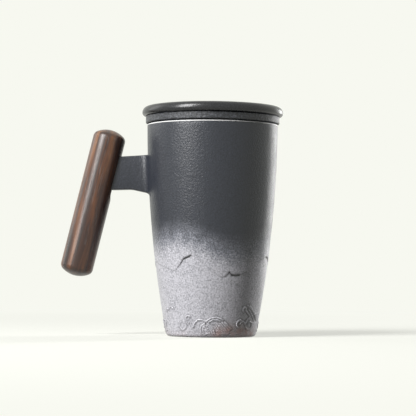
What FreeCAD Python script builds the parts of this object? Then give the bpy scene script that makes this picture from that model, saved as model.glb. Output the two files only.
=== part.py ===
import FreeCAD, Part
import math
import os
import Sketcher
from FreeCAD import Vector

# A lidded stoneware tea mug: a tapered cup with a wooden side grip, a hanging infuser and a lift-off lid.
# The frame stands on the cup's foot: the origin is the middle of the flat foot, +Z runs up the cup's axis,
# and the grip is on the -X side. Lengths are millimetres and angles are degrees.

SIZES = [
    # The cup
    ("mug_height", 132.3, "foot to rim"),
    ("rim_radius", 40.8, "outside of the rim"),
    ("foot_radius", 27.7, "outside of the wall where its line meets the foot's plane"),
    ("wall_bow", 697, "radius of the long arc that bows the wall outwards"),
    ("wall_thickness", 4.5, "cup wall"),
    ("floor_thickness", 5.5, "cup floor"),
    ("foot_rounding", 2.5, "edge round the foot"),
    ("lip_rounding", 1.1, "both edges of the rim"),
    ("cavity_rounding", 9, "inside corner between floor and wall"),
    # The tab and tenon that carry the grip
    ("web_thickness", 8.4, "tab and tenon, front to back"),
    ("web_top", 112.8, "height of the tab's upper edge at the wall"),
    ("web_flat_height", 90.85, "height of the level stretch under the tab"),
    ("web_sag_length", 9.9, "how far from the wall the tab starts to deepen"),
    ("web_sag_drop", 2.3, "how much deeper the tab is at the wall"),
    ("web_flare", 5, "hollow radius that spreads the tab on to the wall"),
    ("web_root_rounding", 3.4, "hollow radius under the tab"),
    ("web_sag_rounding", 14, "soft bend where the tab starts to deepen"),
    ("web_edge_rounding", 0.9, "long edges of the tab"),
    ("tenon_top", 32.2, "above the grip's middle, along the grip"),
    ("tenon_bottom", 10.7, "above the grip's middle, along the grip"),
    # The grip
    ("grip_length", 93.6, "end to end"),
    ("grip_radius", 10.15, "turned cylinder"),
    ("grip_crown", 15, "radius of the domed ends"),
    ("grip_rounding", 4, "edge round each domed end"),
    ("grip_tilt", 13.6, "lean of the grip's top towards the cup"),
    ("grip_offset", 74.3, "cup's axis to the grip's middle"),
    ("grip_height", 82.5, "height of the grip's middle"),
    ("mortise_depth", 14, "below the crest of the grip"),
    ("mortise_overrun", 6.75, "how far the slot runs on below the tenon"),
    ("glue_gap", 0.3, "adhesive between the tenon's sides, top and end and the wood"),
    ("glue_setback", 1.9, "adhesive's face below the crest of the grip"),
    # The infuser
    ("collar_overhang", 1, "collar beyond the rim"),
    ("collar_height", 4.6, "collar above the rim"),
    ("collar_rounding", 0.7, "outer edges of the collar"),
    ("basket_depth", 80, "basket below the rim"),
    ("basket_wall", 3, "basket wall"),
    ("basket_floor", 3.2, "basket floor"),
    ("basket_clearance", 1.3, "basket to the cup's wall"),
    ("basket_rounding", 3.5, "edge round the basket's floor"),
    ("mouth_rounding", 1.2, "inner edge of the collar"),
    ("hole_radius", 1.1, "strainer holes"),
    ("hole_pitch", 6.6, "between rings of holes in the basket's floor"),
    ("hole_columns", 24, "holes round the basket's wall in each row"),
    ("hole_rise", 7, "between rows of holes in the basket's wall"),
    ("hole_first_row", 9, "first row above the basket's floor"),
    # The lid
    ("bead_overhang", 2.25, "bead beyond the infuser's collar"),
    ("bead_under", 2.15, "rounding of the bead's underside"),
    ("bead_crown", 3.85, "rounding of the bead's upper side"),
    ("bead_inner", 2.6, "hollow radius from the bead down to the dish"),
    ("plate_thickness", 3.4, "lid plate under the dish"),
    ("skirt_depth", 4.4, "locating ring below the plate"),
    ("skirt_wall", 3.2, "locating ring, inside to outside"),
    ("lid_clearance", 0.8, "locating ring to the infuser's mouth"),
]

WASTE = 15  # how far a cutting outline reaches past what it cuts

doc = FreeCAD.newDocument("TeaMug")
sheet = doc.addObject("Spreadsheet::Sheet", "Sizes")
for row, (alias, size, meaning) in enumerate(SIZES, start=1):
    sheet.set(f"A{row}", meaning)
    sheet.set(f"B{row}", str(size))
    sheet.setAlias(f"B{row}", alias)
doc.recompute()


def worth(expression):
    """The number that an expression of the sheet's sizes comes to."""
    result = sheet.evalExpression(expression)
    return float(getattr(result, "Value", result))


def bind(item, prop, expression):
    """Drive a property of an object from the sheet."""
    item.setExpression(prop, expression)


def new_body(label):
    body = doc.addObject("PartDesign::Body", label)
    body.Label = label
    return body


def origin_item(body, role):
    return next(item for item in body.Origin.OriginFeatures if item.Role == role)


def new_sketch(body, name, plane):
    sketch = body.newObject("Sketcher::SketchObject", name)
    sketch.AttachmentSupport = [(origin_item(body, plane), "")]
    sketch.MapMode = "FlatFace"
    return sketch


def dimension(sketch, name, kind, where, expression):
    """Add a dimension whose value the sheet drives."""
    index = sketch.addConstraint(Sketcher.Constraint(kind, *where, worth(expression)))
    sketch.renameConstraint(index, name)
    bind(sketch, f"Constraints.{name}", expression)


def place_point(sketch, name, where, across, up):
    """Hold a point of a sketch at two sizes from the sketch's origin."""
    if across == "0":
        sketch.addConstraint(Sketcher.Constraint("PointOnObject", *where, -2))
    else:
        dimension(sketch, f"{name}_x", "DistanceX", where, across)
    if up == "0":
        sketch.addConstraint(Sketcher.Constraint("PointOnObject", *where, -1))
    else:
        dimension(sketch, f"{name}_y", "DistanceY", where, up)


def arc_between(start, end, radius, bow):
    """An arc of a given radius from start to end that bows to the left or right of the way between them.
    The second value says whether the sketch counts its ends in the same order."""
    chord = end - start
    left = Vector(-chord.y, chord.x, 0).normalize()
    side = left if bow == "right" else -left
    centre = (start + end) / 2 + side * math.sqrt(radius**2 - (chord.Length / 2) ** 2)
    first, last = (start, end) if bow == "right" else (end, start)
    first_angle = math.atan2(first.y - centre.y, first.x - centre.x)
    last_angle = math.atan2(last.y - centre.y, last.x - centre.x)
    circle = Part.Circle(centre, Vector(0, 0, 1), radius)
    return Part.ArcOfCircle(circle, first_angle, last_angle), bow == "right"


def draw_outline(sketch, corners):
    """Draw a closed outline. Each corner is a name, its x and its y as expressions. Where an arc leads on
    to the next corner, the arc's radius and the side that it bows to follow."""
    points = [Vector(worth(corner[1]), worth(corner[2]), 0) for corner in corners]
    ends = []
    for index, corner in enumerate(corners):
        start, end = points[index], points[(index + 1) % len(points)]
        if len(corner) == 3:
            edge = sketch.addGeometry(Part.LineSegment(start, end), False)
            ends.append(((edge, 1), (edge, 2)))
            continue
        arc, in_order = arc_between(start, end, worth(corner[3]), corner[4])
        edge = sketch.addGeometry(arc, False)
        ends.append(((edge, 1), (edge, 2)) if in_order else ((edge, 2), (edge, 1)))
    for index in range(len(corners)):
        sketch.addConstraint(Sketcher.Constraint("Coincident", *ends[index - 1][1], *ends[index][0]))
    for corner, (start, _) in zip(corners, ends):
        place_point(sketch, corner[0], start, corner[1], corner[2])
        if len(corner) > 3:
            dimension(sketch, f"{corner[0]}_radius", "Radius", (start[0],), corner[3])


def revolve(body, sketch, name):
    """Turn a closed outline once round the sketch's upright axis."""
    turned = body.newObject("PartDesign::Revolution", name)
    turned.Profile = sketch
    turned.ReferenceAxis = (sketch, ["V_Axis"])
    turned.Angle = 360
    doc.recompute()
    return turned


def round_edges(body, base, name, expression, wanted):
    """Round those edges of a feature that pass a test."""
    names = [f"Edge{n}" for n, edge in enumerate(base.Shape.Edges, start=1) if wanted(edge)]
    rounding = body.newObject("PartDesign::Fillet", name)
    rounding.Base = (base, names)
    rounding.Radius = worth(expression)
    bind(rounding, "Radius", expression)
    doc.recompute()
    return rounding


def is_ring(height, radius):
    """A test for the level circle of a turned shape at one height and radius."""
    level, size = worth(height), worth(radius)

    def test(edge):
        box = edge.BoundBox
        at_height = abs(box.ZMin - level) < 0.01 and abs(box.ZMax - level) < 0.01
        return at_height and abs(box.XMax - size) < 0.01 and abs(box.XMin + size) < 0.01

    return test


def runs_across(x, z):
    """A test for the straight edge that runs front to back through one point of the side view."""
    across, up = worth(x), worth(z)

    def test(edge):
        ends = [vertex.Point for vertex in edge.Vertexes]
        return all(abs(end.x - across) < 0.01 and abs(end.z - up) < 0.01 for end in ends)

    return test


def wall_radius(height):
    """The outside radius of the cup's wall at a height, as an expression."""
    taper = f"(Sizes.rim_radius - Sizes.foot_radius) * ({height}) / Sizes.mug_height"
    bow = f"({height}) * (Sizes.mug_height - ({height})) / (2 * Sizes.wall_bow)"
    return f"(Sizes.foot_radius + {taper} + {bow})"


def grip_point(out, along):
    """The side view's x and z of a point given in the grip's frame: out from its axis, and along it."""
    turn = "(Sizes.grip_tilt * 1 deg)"
    x = f"-Sizes.grip_offset + ({out}) * cos({turn}) + ({along}) * sin({turn})"
    z = f"Sizes.grip_height - ({out}) * sin({turn}) + ({along}) * cos({turn})"
    return x, z


SEAT = "Sizes.mug_height"
COLLAR_TOP = "Sizes.mug_height + Sizes.collar_height"
COLLAR_RADIUS = "Sizes.rim_radius + Sizes.collar_overhang"
LID_RADIUS = "Sizes.rim_radius + Sizes.collar_overhang + Sizes.bead_overhang"
BASKET_UNDERSIDE = "Sizes.mug_height - Sizes.basket_depth"
MOUTH_RADIUS = "Sizes.rim_radius - Sizes.wall_thickness - Sizes.basket_clearance - Sizes.basket_wall"


def make_mug_body():
    """The fired cup, with the tab that spreads from its wall and ends in the tenon."""
    body = new_body("mug_body")
    middle = "(Sizes.web_top + Sizes.web_flat_height) / 2"
    root = f"-({wall_radius(middle)} - 0.75 * Sizes.wall_thickness)"
    corner_height = "Sizes.web_flat_height - Sizes.web_sag_drop"
    toe_height = "Sizes.web_flat_height - Sizes.web_sag_drop - 1.6 * Sizes.web_root_rounding"
    sunk = 0.3  # how deep the underside's corner lies in the wall
    tenon_end = "Sizes.grip_radius - Sizes.mortise_depth + Sizes.glue_gap"

    # The side view of the tab and tenon, wider front to back than it ends up
    side = new_sketch(body, "web_side", "XZ_Plane")
    corner_x = f"-({wall_radius(corner_height)} - {sunk})"
    sag_x = f"-({wall_radius(middle)} + Sizes.web_sag_length)"
    draw_outline(side, [
        ("tenon_end_top", *grip_point(tenon_end, "Sizes.tenon_top")),
        ("crest_top", *grip_point("Sizes.grip_radius", "Sizes.tenon_top")),
        ("root_top", root, "Sizes.web_top"),
        ("root_toe", root, toe_height),
        ("wall_toe", f"-({wall_radius(toe_height)} - {sunk})", toe_height),
        ("corner", corner_x, corner_height),
        ("sag", sag_x, "Sizes.web_flat_height"),
        ("crest_bottom", *grip_point("Sizes.grip_radius", "Sizes.tenon_bottom")),
        ("tenon_end_bottom", *grip_point(tenon_end, "Sizes.tenon_bottom")),
    ])
    web = body.newObject("PartDesign::Pad", "web")
    web.Profile = side
    web.SideType = "Symmetric"
    web.Length = 2 * WASTE
    doc.recompute()
    rounded = round_edges(
        body, web, "web_root_round", "Sizes.web_root_rounding", runs_across(corner_x, corner_height)
    )
    rounded = round_edges(
        body, rounded, "web_sag_round", "Sizes.web_sag_rounding", runs_across(sag_x, "Sizes.web_flat_height")
    )

    # The plan of the tab: both sides are cut to its thickness and flare on to the wall as hollow arcs.
    # The plan leans with the wall, so that the flare stays flush with it from top to bottom.
    plan = new_sketch(body, "web_plan", "XY_Plane")
    radius = wall_radius(middle)
    lean_end = "(Sizes.rim_radius - Sizes.foot_radius) / Sizes.mug_height"
    lean_bow = f"(Sizes.mug_height - 2 * ({middle})) / (2 * Sizes.wall_bow)"
    plan.AttachmentOffset = FreeCAD.Placement(Vector(0, 0, 0), FreeCAD.Rotation(Vector(0, 1, 0), 1))
    bind(plan, "AttachmentOffset.Base.x", f"-{radius}")
    bind(plan, "AttachmentOffset.Base.z", middle)
    bind(plan, "AttachmentOffset.Rotation.Angle", f"-atan({lean_end} + {lean_bow})")
    reach = f"-(Sizes.grip_offset + {WASTE})"
    swing = f"({radius} + Sizes.web_flare)"
    rise = "(Sizes.web_thickness / 2 + Sizes.web_flare)"
    hollow_x = f"{radius} - sqrt({swing} * {swing} - {rise} * {rise})"
    touch_x = f"{radius} - sqrt({swing} * {swing} - {rise} * {rise}) * {radius} / {swing}"
    touch_y = f"{rise} * {radius} / {swing}"
    deep = f"{WASTE}"
    for name, sign, bow in (("back", "", "right"), ("front", "-", "left")):
        draw_outline(plan, [
            (f"{name}_tip", reach, f"{sign}Sizes.web_thickness / 2"),
            (f"{name}_hollow", hollow_x, f"{sign}Sizes.web_thickness / 2", "Sizes.web_flare", bow),
            (f"{name}_touch", touch_x, f"{sign}{touch_y}"),
            (f"{name}_root", deep, f"{sign}{touch_y}"),
            (f"{name}_far", deep, f"{sign}{2 * WASTE}"),
            (f"{name}_end", reach, f"{sign}{2 * WASTE}"),
        ])
    flanks = body.newObject("PartDesign::Pocket", "web_flanks")
    flanks.Profile = plan
    flanks.Type = "ThroughAll"
    flanks.SideType = "Symmetric"
    doc.recompute()

    half = worth("Sizes.web_thickness / 2")
    low, high = worth("Sizes.web_flat_height"), worth("Sizes.web_top")

    def is_long_edge(edge):
        ends = [vertex.Point for vertex in edge.Vertexes]
        on_flank = len(ends) == 2 and all(abs(abs(end.y) - half) < 0.01 for end in ends)
        level = abs(ends[0].z - ends[-1].z) < (high - low) / 4
        outside = all(end.x > -worth("Sizes.grip_offset") + worth("Sizes.grip_radius") / 2 for end in ends)
        return on_flank and level and outside and edge.Length > 1

    softened = round_edges(body, flanks, "web_edge_round", "Sizes.web_edge_rounding", is_long_edge)

    # The cup's wall and floor in section, turned once round the axis
    section = new_sketch(body, "cup_section", "XZ_Plane")
    inner_bow = "Sizes.wall_bow - Sizes.wall_thickness"
    inner_foot = f"{wall_radius('Sizes.floor_thickness')} - Sizes.wall_thickness"
    draw_outline(section, [
        ("middle", "0", "0"),
        ("foot", "Sizes.foot_radius", "0", "Sizes.wall_bow", "right"),
        ("rim_outside", "Sizes.rim_radius", SEAT),
        ("rim_inside", "Sizes.rim_radius - Sizes.wall_thickness", SEAT, inner_bow, "left"),
        ("floor_edge", inner_foot, "Sizes.floor_thickness"),
        ("floor_middle", "0", "Sizes.floor_thickness"),
    ])
    cup = revolve(body, section, "cup")
    rounded = round_edges(body, cup, "foot_round", "Sizes.foot_rounding", is_ring("0", "Sizes.foot_radius"))
    rounded = round_edges(
        body, rounded, "cavity_round", "Sizes.cavity_rounding", is_ring("Sizes.floor_thickness", inner_foot)
    )
    inside = is_ring(SEAT, "Sizes.rim_radius - Sizes.wall_thickness")
    outside = is_ring(SEAT, "Sizes.rim_radius")
    round_edges(
        body, rounded, "lip_round", "Sizes.lip_rounding", lambda edge: inside(edge) or outside(edge)
    )
    return body


def draw_mortise(sketch):
    """The slot's outline: square at its top, and round below where the cutter stopped."""
    half = "(Sizes.web_thickness / 2 + Sizes.glue_gap)"
    top = "Sizes.tenon_top + Sizes.glue_gap"
    shoulder = f"Sizes.tenon_bottom - Sizes.mortise_overrun + {half}"
    left = sketch.addGeometry(Part.LineSegment(
        Vector(-worth(half), worth(shoulder), 0), Vector(-worth(half), worth(top), 0)), False)
    over = sketch.addGeometry(Part.LineSegment(
        Vector(-worth(half), worth(top), 0), Vector(worth(half), worth(top), 0)), False)
    right = sketch.addGeometry(Part.LineSegment(
        Vector(worth(half), worth(top), 0), Vector(worth(half), worth(shoulder), 0)), False)
    circle = Part.Circle(Vector(0, worth(shoulder), 0), Vector(0, 0, 1), worth(half))
    under = sketch.addGeometry(Part.ArcOfCircle(circle, math.pi, 2 * math.pi), False)
    sketch.addConstraint([
        Sketcher.Constraint("Coincident", left, 2, over, 1),
        Sketcher.Constraint("Coincident", over, 2, right, 1),
        Sketcher.Constraint("Tangent", right, 2, under, 2),
        Sketcher.Constraint("Tangent", under, 1, left, 1),
        Sketcher.Constraint("Vertical", left),
        Sketcher.Constraint("Vertical", right),
        Sketcher.Constraint("Horizontal", over),
        Sketcher.Constraint("PointOnObject", under, 3, -2),
    ])
    dimension(sketch, "end_radius", "Radius", (under,), half)
    dimension(sketch, "top_height", "DistanceY", (over, 1), top)
    dimension(sketch, "shoulder_height", "DistanceY", (under, 3), shoulder)


def place_on_grip(body):
    """Lean a piece that is drawn in the grip's own frame and move it to the grip's place."""
    body.Placement = FreeCAD.Placement(Vector(0, 0, 0), FreeCAD.Rotation(Vector(0, 1, 0), 1))
    bind(body, "Placement.Base.x", "-Sizes.grip_offset")
    bind(body, "Placement.Base.z", "Sizes.grip_height")
    bind(body, "Placement.Rotation.Angle", "Sizes.grip_tilt * 1 deg")


def make_handle_grip():
    """The turned wooden grip, in its own frame: +Z along it, and +X towards the cup."""
    body = new_body("handle_grip")
    profile = new_sketch(body, "grip_section", "XZ_Plane")
    crown_fall = "sqrt(Sizes.grip_crown * Sizes.grip_crown - Sizes.grip_radius * Sizes.grip_radius)"
    corner = f"Sizes.grip_length / 2 - Sizes.grip_crown + {crown_fall}"
    draw_outline(profile, [
        ("bottom", "0", "-Sizes.grip_length / 2", "Sizes.grip_crown", "right"),
        ("low_corner", "Sizes.grip_radius", f"-({corner})"),
        ("high_corner", "Sizes.grip_radius", corner, "Sizes.grip_crown", "right"),
        ("top", "0", "Sizes.grip_length / 2"),
    ])
    turned = revolve(body, profile, "turned_grip")
    low, high = is_ring(f"-({corner})", "Sizes.grip_radius"), is_ring(corner, "Sizes.grip_radius")
    round_edges(
        body, turned, "grip_round", "Sizes.grip_rounding", lambda edge: low(edge) or high(edge)
    )

    slot = new_sketch(body, "mortise_outline", "YZ_Plane")
    bind(slot, "AttachmentOffset.Base.z", f"Sizes.grip_radius + {WASTE}")
    draw_mortise(slot)
    mortise = body.newObject("PartDesign::Pocket", "mortise")
    mortise.Profile = slot
    bind(mortise, "Length", f"Sizes.mortise_depth + {WASTE}")
    doc.recompute()
    place_on_grip(body)
    return body


def make_handle_adhesive():
    """The epoxy that fills the mortise round the tenon, in the grip's frame."""
    body = new_body("handle_adhesive")
    outline = new_sketch(body, "adhesive_outline", "YZ_Plane")
    bind(outline, "AttachmentOffset.Base.z", "Sizes.grip_radius - Sizes.mortise_depth")
    draw_mortise(outline)
    filling = body.newObject("PartDesign::Pad", "filling")
    filling.Profile = outline
    bind(filling, "Length", "Sizes.mortise_depth - Sizes.glue_setback")
    doc.recompute()

    socket = new_sketch(body, "tenon_outline", "YZ_Plane")
    bind(socket, "AttachmentOffset.Base.z", "Sizes.grip_radius")
    half = "Sizes.web_thickness / 2"
    draw_outline(socket, [
        ("low_left", f"-{half}", "Sizes.tenon_bottom"),
        ("low_right", half, "Sizes.tenon_bottom"),
        ("high_right", half, "Sizes.tenon_top"),
        ("high_left", f"-{half}", "Sizes.tenon_top"),
    ])
    tenon_room = body.newObject("PartDesign::Pocket", "tenon_room")
    tenon_room.Profile = socket
    bind(tenon_room, "Length", "Sizes.mortise_depth - Sizes.glue_gap")
    doc.recompute()
    place_on_grip(body)
    return body


def make_infuser():
    """The strainer: its collar rests on the cup's rim, and its basket hangs inside the cup."""
    body = new_body("infuser")
    top_radius = "Sizes.rim_radius - Sizes.wall_thickness - Sizes.basket_clearance"
    foot_radius = f"{wall_radius(BASKET_UNDERSIDE)} - Sizes.wall_thickness - Sizes.basket_clearance"
    inner_floor = f"{BASKET_UNDERSIDE} + Sizes.basket_floor"
    inner_foot = f"{foot_radius} - Sizes.basket_wall"
    section = new_sketch(body, "infuser_section", "XZ_Plane")
    draw_outline(section, [
        ("floor_middle", "0", BASKET_UNDERSIDE),
        ("floor_edge", foot_radius, BASKET_UNDERSIDE),
        ("seat_inside", top_radius, SEAT),
        ("seat_outside", COLLAR_RADIUS, SEAT),
        ("collar_outside", COLLAR_RADIUS, COLLAR_TOP),
        ("mouth_top", MOUTH_RADIUS, COLLAR_TOP),
        ("mouth_foot", MOUTH_RADIUS, SEAT),
        ("inner_edge", inner_foot, inner_floor),
        ("inner_middle", "0", inner_floor),
    ])
    turned = revolve(body, section, "collar_and_basket")
    under, over = is_ring(SEAT, COLLAR_RADIUS), is_ring(COLLAR_TOP, COLLAR_RADIUS)
    rounded = round_edges(
        body, turned, "collar_round", "Sizes.collar_rounding", lambda edge: under(edge) or over(edge)
    )
    rounded = round_edges(
        body, rounded, "mouth_round", "Sizes.mouth_rounding", is_ring(COLLAR_TOP, MOUTH_RADIUS)
    )
    below, within = is_ring(BASKET_UNDERSIDE, foot_radius), is_ring(inner_floor, inner_foot)
    round_edges(
        body, rounded, "basket_round", "Sizes.basket_rounding", lambda edge: below(edge) or within(edge)
    )

    # One hole in the middle of the floor, and a sixth of the rings round it
    centre = new_sketch(body, "middle_hole", "XY_Plane")
    add_hole(centre, "middle", "0", "0")
    drill(body, centre, "middle_drilled", "through floor")
    sector = new_sketch(body, "floor_holes", "XY_Plane")
    for ring in (1, 2, 3):
        for step in range(ring):
            angle = f"({60 * step / ring} deg)"
            distance = f"{ring} * Sizes.hole_pitch"
            add_hole(sector, f"ring{ring}_{step}", f"{distance} * cos({angle})", f"{distance} * sin({angle})")
    drilled = drill(body, sector, "floor_drilled", "through floor")
    repeat(body, drilled, "floor_pattern", "6")

    # Rows of holes through the wall: every second row is turned by half a step
    rows = ("even_rows", (0, 2, 4), "0 deg"), ("odd_rows", (1, 3), "180 deg / Sizes.hole_columns")
    for name, steps, turn in rows:
        column = new_sketch(body, name, "XZ_Plane")
        column.AttachmentOffset = FreeCAD.Placement(Vector(0, 0, 0), FreeCAD.Rotation(Vector(0, 1, 0), 1))
        bind(column, "AttachmentOffset.Rotation.Angle", turn)
        for step in steps:
            height = f"{inner_floor} + Sizes.hole_first_row + {step} * Sizes.hole_rise"
            add_hole(column, f"row{step}", "0", height)
        drilled = drill(body, column, f"{name}_drilled", "through wall")
        repeat(body, drilled, f"{name}_pattern", "Sizes.hole_columns")
    return body


def add_hole(sketch, name, across, up):
    """One strainer hole, held by its centre and radius."""
    centre = Vector(worth(across), worth(up), 0)
    circle = Part.Circle(centre, Vector(0, 0, 1), worth("Sizes.hole_radius"))
    edge = sketch.addGeometry(circle, False)
    place_point(sketch, name, (edge, 3), across, up)
    dimension(sketch, f"{name}_radius", "Radius", (edge,), "Sizes.hole_radius")


def drill(body, sketch, name, way):
    """Cut a sketch of holes through the basket's floor or through one side of its wall."""
    holes = body.newObject("PartDesign::Pocket", name)
    holes.Profile = sketch
    if way == "through floor":
        holes.Reversed = True
        holes.Type = "Length"
        bind(holes, "Length", f"{BASKET_UNDERSIDE} + 2 * Sizes.basket_floor")
    else:
        holes.Type = "ThroughAll"
    doc.recompute()
    return holes


def repeat(body, feature, name, count):
    """Repeat a cut evenly round the piece's axis."""
    pattern = body.newObject("PartDesign::PolarPattern", name)
    pattern.Originals = [feature]
    pattern.Axis = (origin_item(body, "Z_Axis"), [""])
    pattern.Angle = 360
    bind(pattern, "Occurrences", count)
    body.Tip = pattern
    doc.recompute()
    return pattern


def make_lid():
    """The lid: a round bead about a shallow dish, and a locating ring that drops into the infuser."""
    body = new_body("lid")
    skirt_outside = f"{MOUTH_RADIUS} - Sizes.lid_clearance"
    skirt_inside = f"{skirt_outside} - Sizes.skirt_wall"
    skirt_foot = f"{COLLAR_TOP} - Sizes.skirt_depth"
    crest = f"{COLLAR_TOP} + Sizes.bead_under + Sizes.bead_crown"
    plate_top = f"{COLLAR_TOP} + Sizes.plate_thickness"
    bead_middle = f"{LID_RADIUS} - Sizes.bead_crown"
    hollow_rise = f"({crest}) - ({plate_top})"
    dish_edge = f"{bead_middle} - sqrt(({hollow_rise}) * (2 * Sizes.bead_inner - ({hollow_rise})))"
    section = new_sketch(body, "lid_section", "XZ_Plane")
    draw_outline(section, [
        ("under_middle", "0", COLLAR_TOP),
        ("skirt_inner_root", skirt_inside, COLLAR_TOP),
        ("skirt_inner_foot", skirt_inside, skirt_foot),
        ("skirt_outer_foot", skirt_outside, skirt_foot),
        ("skirt_outer_root", skirt_outside, COLLAR_TOP),
        ("bead_bottom", f"{LID_RADIUS} - Sizes.bead_under", COLLAR_TOP, "Sizes.bead_under", "right"),
        ("bead_side", LID_RADIUS, f"{COLLAR_TOP} + Sizes.bead_under", "Sizes.bead_crown", "right"),
        ("bead_crest", bead_middle, crest, "Sizes.bead_inner", "right"),
        ("dish_edge", dish_edge, plate_top),
        ("dish_middle", "0", plate_top),
    ])
    turned = revolve(body, section, "turned_lid")
    inner, outer = is_ring(skirt_foot, skirt_inside), is_ring(skirt_foot, skirt_outside)
    round_edges(
        body, turned, "skirt_round", "Sizes.skirt_wall / 4", lambda edge: inner(edge) or outer(edge)
    )
    return body


pieces = [make_mug_body(), make_handle_grip(), make_handle_adhesive(), make_infuser(), make_lid()]
doc.recompute()

for item in doc.Objects:
    if "Invalid" in item.State or "Error" in item.State:
        raise RuntimeError(f"{item.Label} failed: {item.State}")
for piece in pieces:
    if piece.Shape.isNull() or not piece.Shape.isValid() or len(piece.Shape.Solids) != 1:
        raise RuntimeError(f"{piece.Label} has no sound solid")

os.makedirs("parts", exist_ok=True)
for piece in pieces:
    piece.Shape.exportStep(os.path.join("parts", f"{piece.Label}.step"))
    box = piece.Shape.BoundBox
    print(f"{piece.Label}: {piece.Shape.Volume / 1000:.2f} cm3, x {box.XMin:.1f} to {box.XMax:.1f}, "
          f"y {box.YMin:.1f} to {box.YMax:.1f}, z {box.ZMin:.1f} to {box.ZMax:.1f}")
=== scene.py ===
import bmesh
import bpy
import math
import numpy as np
from mathutils import Matrix, Vector


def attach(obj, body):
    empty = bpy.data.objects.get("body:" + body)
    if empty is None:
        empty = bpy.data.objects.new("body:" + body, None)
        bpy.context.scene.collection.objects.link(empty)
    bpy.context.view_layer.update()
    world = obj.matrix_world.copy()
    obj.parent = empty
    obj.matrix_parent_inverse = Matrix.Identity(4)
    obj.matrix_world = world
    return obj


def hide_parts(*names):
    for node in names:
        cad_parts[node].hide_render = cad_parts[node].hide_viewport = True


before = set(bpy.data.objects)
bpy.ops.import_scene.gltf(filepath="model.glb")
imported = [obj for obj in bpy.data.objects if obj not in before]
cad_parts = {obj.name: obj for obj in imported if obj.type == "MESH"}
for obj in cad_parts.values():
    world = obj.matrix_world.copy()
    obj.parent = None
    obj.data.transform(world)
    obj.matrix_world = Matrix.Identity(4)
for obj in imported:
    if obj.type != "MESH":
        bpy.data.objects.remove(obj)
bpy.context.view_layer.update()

# The cup: one fired stoneware body with its foot, wall and rim, and with the tab and tenon that carry the
# grip. It is thrown on a wheel, the tab is joined on while the clay is still damp, mountains and scrolls are
# carved into the wall, and dark glaze is sprayed on so that it fades to bare silver slip at the foot.
MM = 0.001
CUP_HEIGHT = 132.3
RIM_RADIUS = 40.8
FOOT_RADIUS = 27.7
WALL_BOW = 697
WALL_THICKNESS = 4.5
FLOOR_THICKNESS = 5.5
FOOT_ROUNDING = 2.5
LIP_ROUNDING = 1.1
CAVITY_ROUNDING = 9
CUP_COLUMNS = 480
CAVITY_LEAN = 10.6
SMOOTH_ANGLE = math.radians(35)


def wall_radius(z):
    """The outside of the cup's wall: a straight taper, bowed outwards by a long arc."""
    taper = (RIM_RADIUS - FOOT_RADIUS) * z / CUP_HEIGHT
    return FOOT_RADIUS + taper + z * (CUP_HEIGHT - z) / (2 * WALL_BOW)


def inner_radius(z):
    """The inside of the cup's wall."""
    foot = wall_radius(FLOOR_THICKNESS) - WALL_THICKNESS
    rise = CUP_HEIGHT - FLOOR_THICKNESS
    up = z - FLOOR_THICKNESS
    taper = (RIM_RADIUS - WALL_THICKNESS - foot) * up / rise
    return foot + taper + up * (CUP_HEIGHT - z) / (2 * (WALL_BOW - WALL_THICKNESS))


def curl(centre, start_radius, end_radius, start, end, count=14):
    """Points along an arc, or along a spiral where its two radii differ. Angles are in degrees."""
    points = []
    for step in range(count + 1):
        part = step / count
        angle = math.radians(start + (end - start) * part)
        radius = start_radius + (end_radius - start_radius) * part
        points.append((centre[0] + radius * math.cos(angle), centre[1] + radius * math.sin(angle)))
    return points


def levels(low, high, rise):
    """Evenly spaced heights from low up to just under high."""
    count = max(1, round((high - low) / rise))
    return [low + (high - low) * step / count for step in range(count)]


def turned(name, section, columns):
    """Turn a piece: draw its section from point to point, then spin it once round the upright axis."""
    bpy.ops.object.select_all(action="DESELECT")
    bpy.ops.mesh.primitive_plane_add(size=MM)
    piece = bpy.context.object
    piece.name = name
    piece.data.name = name
    bpy.context.tool_settings.mesh_select_mode = (True, False, False)
    bpy.ops.object.mode_set(mode="EDIT")
    bpy.ops.mesh.select_all(action="SELECT")
    bpy.ops.mesh.merge(type="CENTER")
    here = Vector((section[0][0], 0, section[0][1])) * MM
    bpy.ops.transform.translate(value=here)
    for radius, height in section[1:]:
        there = Vector((radius, 0, height)) * MM
        bpy.ops.mesh.extrude_region_move(TRANSFORM_OT_translate={"value": there - here})
        here = there
    bpy.ops.mesh.select_all(action="SELECT")
    bpy.ops.mesh.spin(steps=columns, angle=math.tau, center=(0, 0, 0), axis=(0, 0, 1))
    bpy.ops.mesh.select_all(action="SELECT")
    bpy.ops.mesh.remove_doubles(threshold=0.001 * MM)
    bpy.ops.mesh.normals_make_consistent(inside=False)
    bpy.ops.object.mode_set(mode="OBJECT")
    return piece


def select_only(piece):
    """Select one piece and work on it."""
    bpy.ops.object.select_all(action="DESELECT")
    piece.select_set(True)
    bpy.context.view_layer.objects.active = piece


def combine(piece, other, name, operation, solver):
    """Join another shape to a piece or cut it out of the piece, and delete the other shape."""
    select_only(piece)
    work = piece.modifiers.new(name, "BOOLEAN")
    work.operation = operation
    work.solver = solver
    work.object = other
    bpy.ops.object.modifier_apply(modifier=work.name)
    bpy.data.objects.remove(other)


foot_lean = math.degrees(math.atan((wall_radius(0.01) - FOOT_RADIUS) / 0.01))
foot_middle = FOOT_RADIUS - FOOT_ROUNDING / math.tan(math.radians(45 + foot_lean / 2))
cavity_foot = inner_radius(FLOOR_THICKNESS) - CAVITY_ROUNDING / math.tan(math.radians(45 + CAVITY_LEAN / 2))
cavity_middle = (cavity_foot, FLOOR_THICKNESS + CAVITY_ROUNDING)
cavity_wall = curl(cavity_middle, CAVITY_ROUNDING, CAVITY_ROUNDING, -CAVITY_LEAN, -90, 8)
section = [(0, 0), (9, 0), (18, 0), (23, 0)]
section += curl((foot_middle, FOOT_ROUNDING), FOOT_ROUNDING, FOOT_ROUNDING, -90, -foot_lean, 8)
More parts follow.
